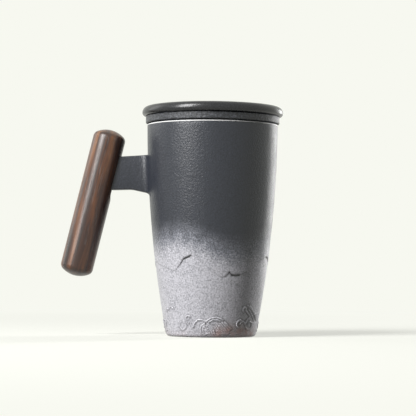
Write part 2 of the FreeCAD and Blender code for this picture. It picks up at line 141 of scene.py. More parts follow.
# The mesh has close rows where the wall is carved and wide ones above
outside = levels(2.3, 22, 0.4) + levels(22, 34, 1.3) + levels(34, 52, 0.4) + levels(52, 131.2, 4)
section += [(wall_radius(z), z) for z in outside]
lip_height = CUP_HEIGHT - LIP_ROUNDING
section += curl((RIM_RADIUS - LIP_ROUNDING, lip_height), LIP_ROUNDING, LIP_ROUNDING, 0, 90, 6)
lip_inside = RIM_RADIUS - WALL_THICKNESS + LIP_ROUNDING
section += curl((lip_inside, lip_height), LIP_ROUNDING, LIP_ROUNDING, 90, 180, 6)
section += [(inner_radius(z), z) for z in reversed(levels(16, 128, 8))]
section += cavity_wall + [(9, FLOOR_THICKNESS), (0, FLOOR_THICKNESS)]
cup = turned("mug_cup", section, CUP_COLUMNS)

# The cup's tab and tenon. They are one slab of clay, cut to its outline and luted to the wall with a soft
# flare on both sides and a hollow below. The tenon at its far end goes into the grip.
GRIP_TILT = 13.6
GRIP_MIDDLE = (-74.3, 82.5)
TAB_HALF = 4.2
TAB_EDGE = 0.9
TENON_END = -3.55
TENON_MOUTH = 10.15
TENON_TOP = 32.2
TENON_BOTTOM = 10.7
FLARE = 5
FLARE_START = 44.05
LEVEL = 90.85
LEVEL_END = -51.3
SAG_END = -48.5
SAG_SLOPE = 0.21
HOLLOW_START = -41.35
HOLLOW_MIDDLE = (-42.05, 85.73)
HOLLOW_RADIUS = 3.4


def grip_point(out, along):
    """The side view's x and z of a point given from the grip's middle: out towards the cup, and along it."""
    turn = math.radians(GRIP_TILT)
    x = GRIP_MIDDLE[0] + out * math.cos(turn) + along * math.sin(turn)
    return x, GRIP_MIDDLE[1] - out * math.sin(turn) + along * math.cos(turn)


def tab_top(x):
    """The tab's upper edge rises a little towards the wall."""
    return 111.4 + (x + 56.9) * 1.4 / 21


def tab_underside(x):
    """The tab's lower edge is level, then deepens towards the wall and turns down into a hollow."""
    if x < LEVEL_END:
        return LEVEL + (x - LEVEL_END) * 0.34 / 10.6
    if x < SAG_END:
        return LEVEL - SAG_SLOPE * (x - LEVEL_END) ** 2 / (2 * (SAG_END - LEVEL_END))
    if x < HOLLOW_START:
        return LEVEL - SAG_SLOPE * (x - (LEVEL_END + SAG_END) / 2)
    past = min(x - HOLLOW_MIDDLE[0], HOLLOW_RADIUS - 0.02)
    return HOLLOW_MIDDLE[1] + math.sqrt(HOLLOW_RADIUS**2 - past**2)


# Each slice of the slab is its upper point, its lower point and half its thickness. The first two are the
# tenon, the ones that thicken are the flare, and the last is buried in the wall.
slices = []
for out in (TENON_END, TENON_MOUTH):
    slices.append((grip_point(out, TENON_TOP), grip_point(out, TENON_BOTTOM), TAB_HALF))
for top_x, low_x in ((-55, -56.5), (-53, -54.5), (-51.5, -52.4), (-50, -50.6), (-48.5, -49), (-47, -47.6)):
    slices.append(((top_x, tab_top(top_x)), (low_x, tab_underside(low_x)), TAB_HALF))
for turn in (0, 14, 28, 42, 54, 66, 78):
    reach = FLARE_START - FLARE * math.sin(math.radians(turn))
    half = TAB_HALF + FLARE - FLARE * math.cos(math.radians(turn))
    top_x, low_x = -(reach + 0.44), -(reach - 0.73)
    slices.append(((top_x, tab_top(top_x)), (low_x, tab_underside(low_x)), half))
slices.append(((-37.6, 112.8), (-37.2, 85.6), half + 0.15))

bpy.ops.object.select_all(action="DESELECT")
bpy.ops.mesh.primitive_plane_add(size=2 * TAB_HALF * MM)
tab = bpy.context.object
tab.name = "mug_tab"
bpy.ops.object.mode_set(mode="EDIT")
bpy.ops.mesh.select_all(action="SELECT")
bpy.ops.transform.rotate(value=math.radians(90), orient_axis="Y", center_override=(0, 0, 0))


def place_end(top, low, half):
    """Move the slab's end face so that its upper and lower edges lie where the side view has them."""
    mesh = bmesh.from_edit_mesh(tab.data)
    corners = sorted((v for v in mesh.verts if v.select), key=lambda v: v.co.z)
    was_half = max(v.co.y for v in corners) / MM
    bpy.ops.transform.resize(value=(1, half / was_half, 1), center_override=(0, 0, 0))
    for pair, (x, z) in ((corners[:2], low), (corners[2:], top)):
        for corner in corners:
            corner.select = corner in pair
        bpy.context.tool_settings.mesh_select_mode = (True, False, False)
        move = Vector((x * MM - pair[0].co.x, 0, z * MM - pair[0].co.z))
        bpy.ops.transform.translate(value=move)
    for corner in corners:
        corner.select = True
    mesh.select_flush(True)


bpy.context.tool_settings.mesh_select_mode = (True, False, False)
place_end(*slices[0])
for top, low, half in slices[1:]:
    bpy.ops.mesh.extrude_region_move(TRANSFORM_OT_translate={"value": (MM, 0, 0)})
    place_end(top, low, half)
# Only the long edges outside the grip are rounded
mesh = bmesh.from_edit_mesh(tab.data)
for edge in mesh.edges:
    ends = [v.co / MM for v in edge.verts]
    along = abs(ends[0].x - ends[1].x) > 0.05 and abs(ends[0].y - ends[1].y) < 2
    edge.select = along and abs(ends[0].z - ends[1].z) < 4 and min(e.x for e in ends) > -63
bpy.context.tool_settings.mesh_select_mode = (False, True, False)
bpy.ops.mesh.bevel(offset=TAB_EDGE * MM, segments=3, affect="EDGES", clamp_overlap=False)
bpy.ops.mesh.select_all(action="SELECT")
bpy.ops.mesh.normals_make_consistent(inside=False)
bpy.ops.object.mode_set(mode="OBJECT")

combine(cup, tab, "luting", "UNION", "MANIFOLD")

# The carving. A line of mountains runs round the cup: the wall above it stands a little proud and the wall
# below it is scraped back. Wave and cloud scrolls stand out as fine raised lines at the foot, twice round.
# The ridge's points are an angle from the front of the cup, in degrees, and a height in millimetres. The
# scrolls' points are millimetres along the wall from the front, and a height.
RIDGE = [
    (-76, 46.1), (-59, 43.2), (-46, 41.1), (-40, 40.5), (-32.5, 44.5), (-29, 47.6), (-23, 48.9),
    (-20, 50), (-14, 48.1), (-7, 44.4), (-2, 41.8), (9, 37.1), (11, 36.9), (14.5, 37.1), (19, 39.8),
    (21, 38), (25, 37.8), (33, 38.2), (35, 39.7), (45, 42.1), (53, 45), (58, 47.7), (70, 49.5),
    (80, 48.5), (95, 43), (108, 39), (125, 43.5), (140, 49), (152, 46), (170, 40), (190, 37.5),
    (205, 42), (222, 50.5), (238, 46), (255, 40.5), (268, 43), (278, 45.5), (284, 46.1),
]
RAISED = 0.45
CUT = 0.4
RIDGE_RISE = 0.12
RIDGE_SCRAPE = 0.14
EDGE_RISE = 0.2
LINE_HALF = 0.62
FOOT_LINE_HEIGHT = 3
FOOT_LINE_HALF = 0.35
FOOT_LINE_DEPTH = 0.1
CARVED_LOW = 2.2
CARVED_HIGH = 60
REPEAT = 180
REPEAT_START = 66
DEGREE = 28.8 * math.pi / 180

scrolls = [
    # The hook on the left and the small peak that follows
    [(-19.2, 9.4), (-20.2, 8.4), (-20.8, 6.8), (-20, 5.2), (-18.4, 4.5), (-16.6, 5.2), (-15.6, 7),
     (-15.3, 9.4), (-15.8, 11.2), (-15, 12.7), (-13.8, 13.2), (-12.6, 12.4)],
    [(-14, 8.4), (-13.2, 9.6), (-12.2, 8.2), (-11.4, 6.2)],
    # The wave that curls back, and the arch over it
    [(-10.8, 6.4), (-9.9, 8.8), (-7.8, 10.6), (-5.6, 10.9), (-3.4, 9.9), (-3.6, 7.8), (-5, 6.2)],
    [(-3, 9.8), (-0.4, 11.6), (2.7, 12.3), (5.8, 11.5), (7, 10.6)],
    [(-1.2, 9.6), (1.2, 10.8), (3.8, 10.8), (5.4, 10)],
    # The fan of waves
    curl((-2.4, 4.8), 2.4, 2.4, 110, 262),
    curl((-2.4, 4.8), 3.9, 3.9, 118, 240),
    curl((-5.6, 0.9), 4.3, 4.3, 10, 78),
    curl((-5.6, 0.9), 5.6, 5.6, 8, 72),
    curl((-5.6, 0.9), 6.9, 6.9, 8, 66),
    curl((-5.6, 0.9), 8.2, 8.2, 8, 64),
    # Slanting water lines
    [(6.8, 9.2), (9.4, 6.8), (11.8, 4.6)],
    [(8.4, 9.4), (10.8, 7.2), (12.8, 5.4)],
    [(5.6, 8.4), (8.6, 5.6), (11.4, 3)],
    [(4.8, 7.2), (7.6, 4.6), (10.2, 2.3)],
    [(4.2, 5.8), (6.4, 3.8), (8.4, 2)],
    [(3.8, 4.4), (5.4, 3), (6.6, 1.9)],
    # The open scroll, its small arch, and the spiral on the right
    curl((18.4, 8.3), 2.4, 2.2, 70, 262),
    curl((20.6, 7.8), 2, 2, 165, 5),
    curl((26.8, 7.9), 4.1, 1.1, 105, 560, 30),
    # Flame lines that fall to the right above the spiral, and a small curl at their head
    [(23, 19.5), (26, 17.6), (28.8, 15.5), (31.8, 13), (34.2, 10.9)],
    [(24.6, 19.6), (27.6, 17.4), (30.6, 14.8), (33.4, 12.4)],
    [(22.3, 16.4), (24.6, 14.4), (26.6, 12.7)],
    [(24.2, 17.2), (26.6, 15), (29, 12.8), (31.2, 10.4)],
    curl((21.2, 17.3), 0.6, 1.7, -60, 230),
    # The faint cloud on the far left, and a cloud scroll at the sides of the cup
    [(-31.6, 15.6), (-30.4, 17.2), (-28.8, 16.4), (-27.6, 17.8), (-25.8, 18.6), (-24.6, 17.4)],
    curl((46, 8), 1.2, 3.8, 20, 360, 24),
    [(49.8, 8), (51.6, 10), (53.8, 10.4), (55.6, 9), (55.2, 7), (53.4, 6.4)],
    [(41, 4.4), (43.6, 3.4), (46.4, 3), (49.4, 3.6), (52.4, 3.2), (55, 4)],
]
# The stretches where the ridge is a cut line, with its half width, and where it has a thin raised edge
INCISED = [(-38, -19.5, 0.6), (13, 32, 0.65), (68, 86, 0.75)]
RAISED_EDGE = (33, 70)
# Each spot of iron is its angle, its height, and how wide and how tall it is
IRON_SPOTS = [(38, 1.5, 11, 5), (18, 2, 8, 5), (57, 2, 7, 4), (160, 2, 10, 5), (252, 1.5, 12, 5)]

points = np.empty(len(cup.data.vertices) * 3)
cup.data.vertices.foreach_get("co", points)
points = points.reshape(-1, 3) / MM
angle = np.degrees(np.arctan2(points[:, 0], -points[:, 1]))
height = points[:, 2]
on_wall = np.abs(np.hypot(points[:, 0], points[:, 1]) - wall_radius(height)) < 0.05
ridge_angles = [a for a, _ in RIDGE]
ridge = np.interp((angle - ridge_angles[0]) % 360 + ridge_angles[0], ridge_angles, [z for _, z in RIDGE])
above = height - ridge

relief = np.where(above > 0, RIDGE_RISE * np.exp(-above / 7), -RIDGE_SCRAPE * np.exp(above / 5))
incision = np.zeros(len(points))
for low, high, width in INCISED:
    inside = np.clip((angle - low) / 9, 0, 1) * np.clip((high - angle) / 2, 0, 1)
    incision = np.maximum(incision, inside * np.exp(-((above / width) ** 2)))
relief -= CUT * incision
inside = np.clip((angle - RAISED_EDGE[0]) / 4, 0, 1) * np.clip((RAISED_EDGE[1] - angle) / 4, 0, 1)
relief += EDGE_RISE * inside * np.exp(-((above / 0.4) ** 2))
foot_line = np.exp(-(((height - FOOT_LINE_HEIGHT) / FOOT_LINE_HALF) ** 2))
relief -= FOOT_LINE_DEPTH * foot_line

across = ((angle + REPEAT_START) % REPEAT - REPEAT_START) * DEGREE
nearest = np.full(len(points), 9.0)
for stroke in scrolls:
    for (x0, z0), (x1, z1) in zip(stroke, stroke[1:]):
        run, rise = x1 - x0, z1 - z0
        part = np.clip(((across - x0) * run + (height - z0) * rise) / (run * run + rise * rise), 0, 1)
        nearest = np.minimum(nearest, np.hypot(across - x0 - part * run, height - z0 - part * rise))
line = np.clip(1 - nearest / LINE_HALF, 0, 1)
line = line * line * (3 - 2 * line)
carved = on_wall & (height > CARVED_LOW) & (height < CARVED_HIGH)
relief = np.where(carved, relief + RAISED * line, 0)

for name, amount in (("raised", relief / RAISED), ("cut", -relief / CUT)):
    group = cup.vertex_groups.new(name=name)
    for index in np.nonzero(amount > 0.01)[0]:
        group.add([int(index)], float(min(amount[index], 1)), "REPLACE")
for name, depth in (("raised", RAISED), ("cut", -CUT)):
    carving = cup.modifiers.new(name, "DISPLACE")
    carving.vertex_group = name
    carving.mid_level = 0
    carving.strength = depth * MM
    bpy.ops.object.modifier_apply(modifier=carving.name)

# Where the sprayed glaze has faded out, where carved lines hold dark glaze and painted shade, and where iron
# in the clay shows
FADE = [
    (-180, 55), (-90, 57), (-57, 58), (-35, 60.5), (-20, 59.5), (-8, 56), (3, 52.8), (16, 50.6), (30, 49.5),
    (50, 54), (75, 58), (110, 56), (180, 55),
]
FADE_HALF = 14
FOOT_ZONE = 3
fade_middle = np.interp(angle, [a for a, _ in FADE], [z for _, z in FADE])
mist = np.clip((fade_middle + FADE_HALF - height) / (2 * FADE_HALF), 0, 1)
mist = mist * mist * (3 - 2 * mist)
mist = np.maximum(mist, np.clip(-above / 0.5, 0, 1) * 0.97)
# Dark glaze in the cuts with painted shade: faint along the whole ridge step, nearly black in its cut
# stretches
ink_and_shade = np.maximum(0.06 * np.exp(-((above / 0.5) ** 2)), np.clip(1.6 * incision, 0, 1))
# Painted shade: the dark outlines of the scrolls are heavier on the side of the cup turned away from the key
# lamp
painted_shade_side = np.clip(np.cos(np.radians(2 * (angle - 45))), 0, 1)
# Painted shade in the crease just outside each raised scroll line
shade_beside_lines = np.where(height < 23, np.clip(1 - np.abs(nearest - 0.85) / 0.55, 0, 1), 0)
ink_and_shade = np.maximum(ink_and_shade, (0.34 + 0.6 * painted_shade_side) * shade_beside_lines)
ink_and_shade = np.maximum(ink_and_shade, 0.14 * foot_line)
iron = np.zeros(len(points))
for place, level, wide, tall in IRON_SPOTS:
    off = (angle - place + 180) % 360 - 180
    iron += np.exp(-((off * DEGREE / wide) ** 2) - ((height - level) / tall) ** 2)
iron = np.maximum(iron, 0.22 * np.clip((6 - height) / 5, 0, 1))
for name, amount in (("mist", mist), ("ink_and_shade", ink_and_shade), ("iron", np.clip(iron, 0, 1))):
    layer = cup.data.attributes.new(name, "FLOAT", "POINT")
    shown = np.where(on_wall | (height < FOOT_ZONE), amount, 0)
    layer.data.foreach_set("value", shown.astype("float32"))

select_only(cup)
bpy.ops.object.shade_smooth_by_angle(angle=SMOOTH_ANGLE)


def srgb(code):
    """The linear colour of an sRGB hex value."""
    parts = [int(code[i:i + 2], 16) / 255 for i in (1, 3, 5)]
    return tuple(p / 12.92 if p <= 0.04045 else ((p + 0.055) / 1.055) ** 2.4 for p in parts) + (1,)


def add_node(tree, kind, settings=None, links=None):
    """Add a node, give its inputs or properties their settings, and link its inputs to other outputs."""
    node = tree.nodes.new(kind)
    for name, value in (settings or {}).items():
        if name == "stops":
            for index, (position, code) in enumerate(value):
                stops = node.color_ramp.elements
                stop = stops[index] if index < 2 else stops.new(position)
                stop.position = position
                stop.color = srgb(code)
        elif isinstance(name, int) or name in node.inputs:
            node.inputs[name].default_value = value
        else:
            setattr(node, name, value)
    for name, source in (links or {}).items():
        tree.links.new(source, node.inputs[name])
    return node


def new_finish(name):
    """An empty material with its shader and the object's coordinates."""
    finish = bpy.data.materials.new(name)
    finish.use_nodes = True
    tree = finish.node_tree
    shader = tree.nodes["Principled BSDF"]
    return finish, tree, shader, add_node(tree, "ShaderNodeTexCoord").outputs["Object"]


# Sprayed stoneware glaze over silver slip. The spray leaves an orange peel of about 1.1 mm, which breaks up
# every highlight, and the fade is a scatter of drops of about 0.9 mm. A pale line at the edge of the lip is
# partly bare clay where the glaze wears thin and partly a painted highlight.
LIP_WEAR_AND_HIGHLIGHT = 131.25
LIP_WEAR_AND_HIGHLIGHT_HALF = 0.27

rough_glaze, tree, shader, place = new_finish("sprayed_stoneware_glaze")
mist = add_node(tree, "ShaderNodeAttribute", {"attribute_name": "mist"}).outputs["Fac"]
ink_and_shade = add_node(tree, "ShaderNodeAttribute", {"attribute_name": "ink_and_shade"}).outputs["Fac"]
iron = add_node(tree, "ShaderNodeAttribute", {"attribute_name": "iron"}).outputs["Fac"]
drops = add_node(
    tree, "ShaderNodeTexNoise", {"Scale": 1 / (0.9 * MM), "Detail": 3, "Roughness": 0.6}, {"Vector": place})
clouds = add_node(
    tree, "ShaderNodeTexNoise", {"Scale": 1 / (7 * MM), "Detail": 4, "Roughness": 0.6}, {"Vector": place})
scatter = add_node(
    tree, "ShaderNodeMath", {"operation": "MULTIPLY_ADD", 1: 1.1, 2: -0.55}, {0: drops.outputs["Fac"]})
drift = add_node(
    tree, "ShaderNodeMath", {"operation": "MULTIPLY_ADD", 1: 0.7, 2: -0.35}, {0: clouds.outputs["Fac"]})
spread = add_node(
    tree, "ShaderNodeMath", {"operation": "ADD"}, {0: scatter.outputs[0], 1: drift.outputs[0]})
room = add_node(
    tree, "ShaderNodeMapRange", {"From Min": 0, "From Max": 0.35, "To Min": 0, "To Max": 1}, {"Value": mist})
faded = add_node(
    tree, "ShaderNodeMath", {"operation": "MULTIPLY_ADD", "use_clamp": True},
    {0: spread.outputs[0], 1: room.outputs[0], 2: mist})
body = add_node(
    tree, "ShaderNodeValToRGB",
    {"stops": [(0, "#30333b"), (1, "#c9c8ce"), (0.5, "#85878f")]},
    {"Fac": faded.outputs[0]})
grain = add_node(
    tree, "ShaderNodeMapRange", {"From Min": 0.3, "From Max": 0.7, "To Min": 0.66, "To Max": 1.28},
    {"Value": drops.outputs["Fac"]})
grained = add_node(
    tree, "ShaderNodeMix", {"data_type": "RGBA", "blend_type": "MULTIPLY", 0: 1},
    {6: body.outputs["Color"], 7: grain.outputs[0]})
# Dark glaze and painted shade in the carved lines, along the ridge step and beside the scroll lines
lined_and_shaded = add_node(
    tree, "ShaderNodeMix", {"data_type": "RGBA", 7: srgb("#1d1d22")}, {0: ink_and_shade, 6: grained.outputs[2]})
patches = add_node(
    tree, "ShaderNodeMapRange", {"From Min": 0.35, "From Max": 0.6, "To Min": 0.1, "To Max": 0.85},
    {"Value": clouds.outputs["Fac"]})
rusting = add_node(
    tree, "ShaderNodeMath", {"operation": "MULTIPLY", "use_clamp": True}, {0: iron, 1: patches.outputs[0]})
rusted = add_node(
    tree, "ShaderNodeMix", {"data_type": "RGBA", 7: srgb("#a98b84")},
    {0: rusting.outputs[0], 6: lined_and_shaded.outputs[2]})
up = add_node(tree, "ShaderNodeSeparateXYZ", {}, {0: place}).outputs["Z"]
# A painted highlight at the lip, partly pale worn glaze: a band just under the lip's rounding is painted near
# white
lip_wear_and_highlight = add_node(
    tree, "ShaderNodeMath", {"operation": "COMPARE", 1: LIP_WEAR_AND_HIGHLIGHT * MM, 2: LIP_WEAR_AND_HIGHLIGHT_HALF * MM}, {0: up})
finished = add_node(
    tree, "ShaderNodeMix", {"data_type": "RGBA", 7: srgb("#f2f2f0")},
    {0: lip_wear_and_highlight.outputs[0], 6: rusted.outputs[2]})
sheen = add_node(
    tree, "ShaderNodeMapRange", {"From Min": 0.3, "From Max": 0.7, "To Min": 0.3, "To Max": 0.38},
    {"Value": clouds.outputs["Fac"]})
peel = add_node(
    tree, "ShaderNodeTexNoise", {"Scale": 1 / (1.1 * MM), "Detail": 3, "Roughness": 0.6}, {"Vector": place})
bumps = add_node(
    tree, "ShaderNodeBump", {"Strength": 1, "Distance": 0.26 * MM}, {"Height": peel.outputs["Fac"]})
tree.links.new(finished.outputs[2], shader.inputs["Base Color"])
tree.links.new(sheen.outputs[0], shader.inputs["Roughness"])
tree.links.new(bumps.outputs[0], shader.inputs["Normal"])
cup.data.materials.clear()
cup.data.materials.append(rough_glaze)
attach(cup, "mug")
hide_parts("mug_body")

# The grip: a stick of dark walnut, turned on a lathe with domed ends, then routed with a slot for the tenon.
# The slot runs on below the tenon, where its round end shows as a small notch.
GRIP_LENGTH = 93.6
GRIP_RADIUS = 10.15
GRIP_CROWN = 15
GRIP_ROUNDING = 4
GRIP_COLUMNS = 96
SLOT_HALF = 4.5
SLOT_FLOOR = -3.85
SLOT_LOW = 8.45
SLOT_TOP = 32.5
SLOT_REACH = 20

crown_rise = GRIP_LENGTH / 2 - GRIP_CROWN
inner_reach = GRIP_RADIUS - GRIP_ROUNDING
end_turn = math.acos(inner_reach / (GRIP_CROWN - GRIP_ROUNDING))
corner_rise = crown_rise + (GRIP_CROWN - GRIP_ROUNDING) * math.sin(end_turn)
end_turn = math.degrees(end_turn)
dome = curl((0, crown_rise), GRIP_CROWN, GRIP_CROWN, 90, end_turn, 10)
dome += curl((inner_reach, corner_rise), GRIP_ROUNDING, GRIP_ROUNDING, end_turn, 0, 8)[1:]
section = dome + [(GRIP_RADIUS, z) for z in (30, 20, 10, 0, -10, -20, -30)]
section += [(radius, -z) for radius, z in reversed(dome)]
grip = turned("grip_walnut", section, GRIP_COLUMNS)

bpy.ops.object.select_all(action="DESELECT")
bpy.ops.mesh.primitive_circle_add(
    vertices=48, radius=SLOT_HALF * MM, fill_type="NGON", rotation=(0, math.radians(90), 0),
    location=(SLOT_FLOOR * MM, 0, SLOT_LOW * MM))
cutter = bpy.context.object
bpy.ops.object.transform_apply(location=True, rotation=True, scale=True)
bpy.ops.object.mode_set(mode="EDIT")
mesh = bmesh.from_edit_mesh(cutter.data)
for vertex in mesh.verts:
    vertex.select = vertex.co.z > SLOT_LOW * MM + 1e-6
mesh.select_flush_mode()
bpy.context.tool_settings.mesh_select_mode = (True, False, False)
bpy.ops.transform.translate(value=(0, 0, (SLOT_TOP - SLOT_LOW - SLOT_HALF) * MM))
bpy.ops.transform.resize(value=(1, 1, 0), center_override=(0, 0, SLOT_TOP * MM))
bpy.ops.mesh.select_all(action="SELECT")
bpy.ops.mesh.extrude_region_move(TRANSFORM_OT_translate={"value": (SLOT_REACH * MM, 0, 0)})
bpy.ops.mesh.select_all(action="SELECT")
bpy.ops.mesh.normals_make_consistent(inside=False)
bpy.ops.object.mode_set(mode="OBJECT")

combine(grip, cutter, "routing", "DIFFERENCE", "EXACT")
grip.rotation_euler = (0, math.radians(GRIP_TILT), 0)
grip.location = (GRIP_MIDDLE[0] * MM, 0, GRIP_MIDDLE[1] * MM)
bpy.ops.object.transform_apply(location=True, rotation=True, scale=True)
bpy.ops.object.shade_smooth_by_angle(angle=SMOOTH_ANGLE)

# Oiled walnut. Its grain runs along the stick as brown and nearly black bands a few millimetres wide with
# open pores, and the oil gives it a soft sheen. The pores are drawn 0.8 mm wide, coarser than real ones, so
# that they show.
walnut, tree, shader, place = new_finish("oiled_walnut")
along = add_node(
    tree, "ShaderNodeMapping",
    {"vector_type": "TEXTURE", "Location": (GRIP_MIDDLE[0] * MM, 0, GRIP_MIDDLE[1] * MM),
     "Rotation": (0, math.radians(GRIP_TILT), 0)}, {"Vector": place})
drawn = add_node(tree, "ShaderNodeMapping", {"Scale": (1, 1, 0.09)}, {"Vector": along.outputs[0]})
fine = add_node(tree, "ShaderNodeMapping", {"Scale": (1, 1, 0.05)}, {"Vector": along.outputs[0]})
bands = add_node(
    tree, "ShaderNodeTexNoise", {"Scale": 1 / (4.5 * MM), "Detail": 4, "Roughness": 0.55, "Distortion": 0.4},
    {"Vector": drawn.outputs[0]})
streaks = add_node(
    tree, "ShaderNodeTexNoise", {"Scale": 1 / (0.8 * MM), "Detail": 3, "Roughness": 0.6},
    {"Vector": fine.outputs[0]})
wood = add_node(
    tree, "ShaderNodeValToRGB",
    {"stops": [(0.3, "#1f0f09"), (0.72, "#8a5c38"), (0.45, "#3e2318"), (0.57, "#633d26")]},
    {"Fac": bands.outputs["Fac"]})
fibres = add_node(
    tree, "ShaderNodeMapRange", {"From Min": 0.3, "From Max": 0.7, "To Min": 0.72, "To Max": 1.2},
    {"Value": streaks.outputs["Fac"]})
coloured = add_node(
    tree, "ShaderNodeMix", {"data_type": "RGBA", "blend_type": "MULTIPLY", 0: 1},
    {6: wood.outputs["Color"], 7: fibres.outputs[0]})
pores = add_node(
    tree, "ShaderNodeMapRange", {"From Min": 0.34, "From Max": 0.42, "To Min": 0, "To Max": 1},
    {"Value": streaks.outputs["Fac"]})
pits = add_node(
    tree, "ShaderNodeBump", {"Strength": 1, "Distance": 0.12 * MM}, {"Height": pores.outputs[0]})
tree.links.new(coloured.outputs[2], shader.inputs["Base Color"])
tree.links.new(pits.outputs[0], shader.inputs["Normal"])
shader.inputs["Roughness"].default_value = 0.36
shader.inputs["Coat Weight"].default_value = 0.35
shader.inputs["Coat Roughness"].default_value = 0.3
grip.data.materials.clear()
grip.data.materials.append(walnut)
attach(grip, "mug")
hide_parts("handle_grip")

# The bed of cured epoxy between tenon and slot. It is dark, slightly glossy where it skinned over, and stays
# just below the wood's surface.
epoxy, tree, shader, place = new_finish("cured_epoxy")
ripples = add_node(tree, "ShaderNodeTexNoise", {"Scale": 1 / (2 * MM), "Detail": 2}, {"Vector": place})
tone = add_node(
    tree, "ShaderNodeValToRGB", {"stops": [(0.35, "#15110f"), (0.65, "#2a211c")]},
    {"Fac": ripples.outputs["Fac"]})
skin = add_node(
    tree, "ShaderNodeBump", {"Strength": 1, "Distance": 0.1 * MM}, {"Height": ripples.outputs["Fac"]})
tree.links.new(tone.outputs["Color"], shader.inputs["Base Color"])
tree.links.new(skin.outputs[0], shader.inputs["Normal"])
shader.inputs["Roughness"].default_value = 0.35
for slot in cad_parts["handle_adhesive"].material_slots:
    slot.material = epoxy

# The infuser: a stoneware strainer whose collar rests on the cup's rim and whose basket hangs in the cup.
# It is thrown in one piece, drilled while damp, and glazed like the cup but with a coarser, sandier grain.
sandy_glaze, tree, shader, place = new_finish("sandy_stoneware_glaze")
sand = add_node(
    tree, "ShaderNodeTexNoise", {"Scale": 1 / (1.3 * MM), "Detail": 3, "Roughness": 0.6}, {"Vector": place})
tone = add_node(
    tree, "ShaderNodeValToRGB",
    {"stops": [(0.32, "#1c1d20"), (0.7, "#63656c"), (0.5, "#34363b")]}, {"Fac": sand.outputs["Fac"]})
grit = add_node(
    tree, "ShaderNodeBump", {"Strength": 1, "Distance": 0.5 * MM}, {"Height": sand.outputs["Fac"]})
tree.links.new(tone.outputs["Color"], shader.inputs["Base Color"])
tree.links.new(grit.outputs[0], shader.inputs["Normal"])
shader.inputs["Roughness"].default_value = 0.4
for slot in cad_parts["infuser"].material_slots:
    slot.material = sandy_glaze

# The lid: a thrown stoneware disc with a round bead, a shallow dish inside it and a locating ring below that
# drops into the infuser's mouth. Its glaze is smoother than the cup's, with a satin sheen.
COLLAR_TOP = 136.9
LID_RADIUS = 44.05
BEAD_UNDER = 2.15
BEAD_CROWN = 3.85
BEAD_INNER = 2.6
DISH_TOP = 140.3
SKIRT_OUTSIDE = 31.2
SKIRT_INSIDE = 28
SKIRT_FOOT = 132.5
SKIRT_ROUNDING = 0.8
LID_COLUMNS = 240

bead_top = COLLAR_TOP + BEAD_UNDER + BEAD_CROWN
bead_middle = LID_RADIUS - BEAD_CROWN
section = [(0, DISH_TOP), (10, DISH_TOP), (20, DISH_TOP), (30, DISH_TOP), (36, DISH_TOP)]
section += curl((bead_middle, bead_top - BEAD_INNER), BEAD_INNER, BEAD_INNER, 180, 90, 8)
section += curl((bead_middle, COLLAR_TOP + BEAD_UNDER), BEAD_CROWN, BEAD_CROWN, 90, 0, 14)[1:]
section += curl((LID_RADIUS - BEAD_UNDER, COLLAR_TOP + BEAD_UNDER), BEAD_UNDER, BEAD_UNDER, 0, -90, 10)[1:]
section += [(36, COLLAR_TOP), (SKIRT_OUTSIDE, COLLAR_TOP)]
skirt_low = SKIRT_FOOT + SKIRT_ROUNDING
section += curl((SKIRT_OUTSIDE - SKIRT_ROUNDING, skirt_low), SKIRT_ROUNDING, SKIRT_ROUNDING, 0, -90, 5)
section += curl((SKIRT_INSIDE + SKIRT_ROUNDING, skirt_low), SKIRT_ROUNDING, SKIRT_ROUNDING, -90, -180, 5)
section += [(SKIRT_INSIDE, COLLAR_TOP), (14, COLLAR_TOP), (0, COLLAR_TOP)]
lid = turned("lid_disc", section, LID_COLUMNS)
bpy.ops.object.shade_smooth_by_angle(angle=SMOOTH_ANGLE)

satin_glaze, tree, shader, place = new_finish("satin_stoneware_glaze")
specks = add_node(
    tree, "ShaderNodeTexNoise", {"Scale": 1 / (0.9 * MM), "Detail": 3, "Roughness": 0.6}, {"Vector": place})
tone = add_node(
    tree, "ShaderNodeValToRGB",
    {"stops": [(0.35, "#131417"), (0.68, "#2b2c30")]}, {"Fac": specks.outputs["Fac"]})
peel = add_node(
    tree, "ShaderNodeBump", {"Strength": 1, "Distance": 0.05 * MM}, {"Height": specks.outputs["Fac"]})
tree.links.new(tone.outputs["Color"], shader.inputs["Base Color"])
tree.links.new(peel.outputs[0], shader.inputs["Normal"])
shader.inputs["Roughness"].default_value = 0.27
lid.data.materials.clear()
lid.data.materials.append(satin_glaze)
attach(lid, "lid")
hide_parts("lid")

# The stage: a pale floor that keeps the mug's soft shadow and can't be seen from below, a tall softbox on the
# left, weak ones at the far left and in front, two narrow ones behind on the right for the bright edge, and
# a dim room. The camera stands where the photographer's stood. Lengths are metres from here on.
BACKGROUND = srgb("#f7f8f0")
FLOOR_SIZE = 12
SHADE_START = 0.035
SHADE_END = 0.1
FADE_REACH = 0.7
UNDER_FOOT = 0.0255
UNDER_FOOT_GLOW = 0.3
ROOM_LIGHT = 0.006
CAMERA_BACK = 1.06
CAMERA_HEIGHT = 0.039
CAMERA_TURNS = (0.133, 92.206, 0.5)
CAMERA_LENS = 146.9


def seen_rays(tree):
    """One for the rays that see the pale background: the camera's, and those reflected or passed on to it."""
    path = add_node(tree, "ShaderNodeLightPath")
    mirrored = add_node(
        tree, "ShaderNodeMath", {"operation": "MAXIMUM"},
        {0: path.outputs["Is Camera Ray"], 1: path.outputs["Is Glossy Ray"]})
    return add_node(
        tree, "ShaderNodeMath", {"operation": "MAXIMUM"},
        {0: mirrored.outputs[0], 1: path.outputs["Is Transmission Ray"]}).outputs[0]


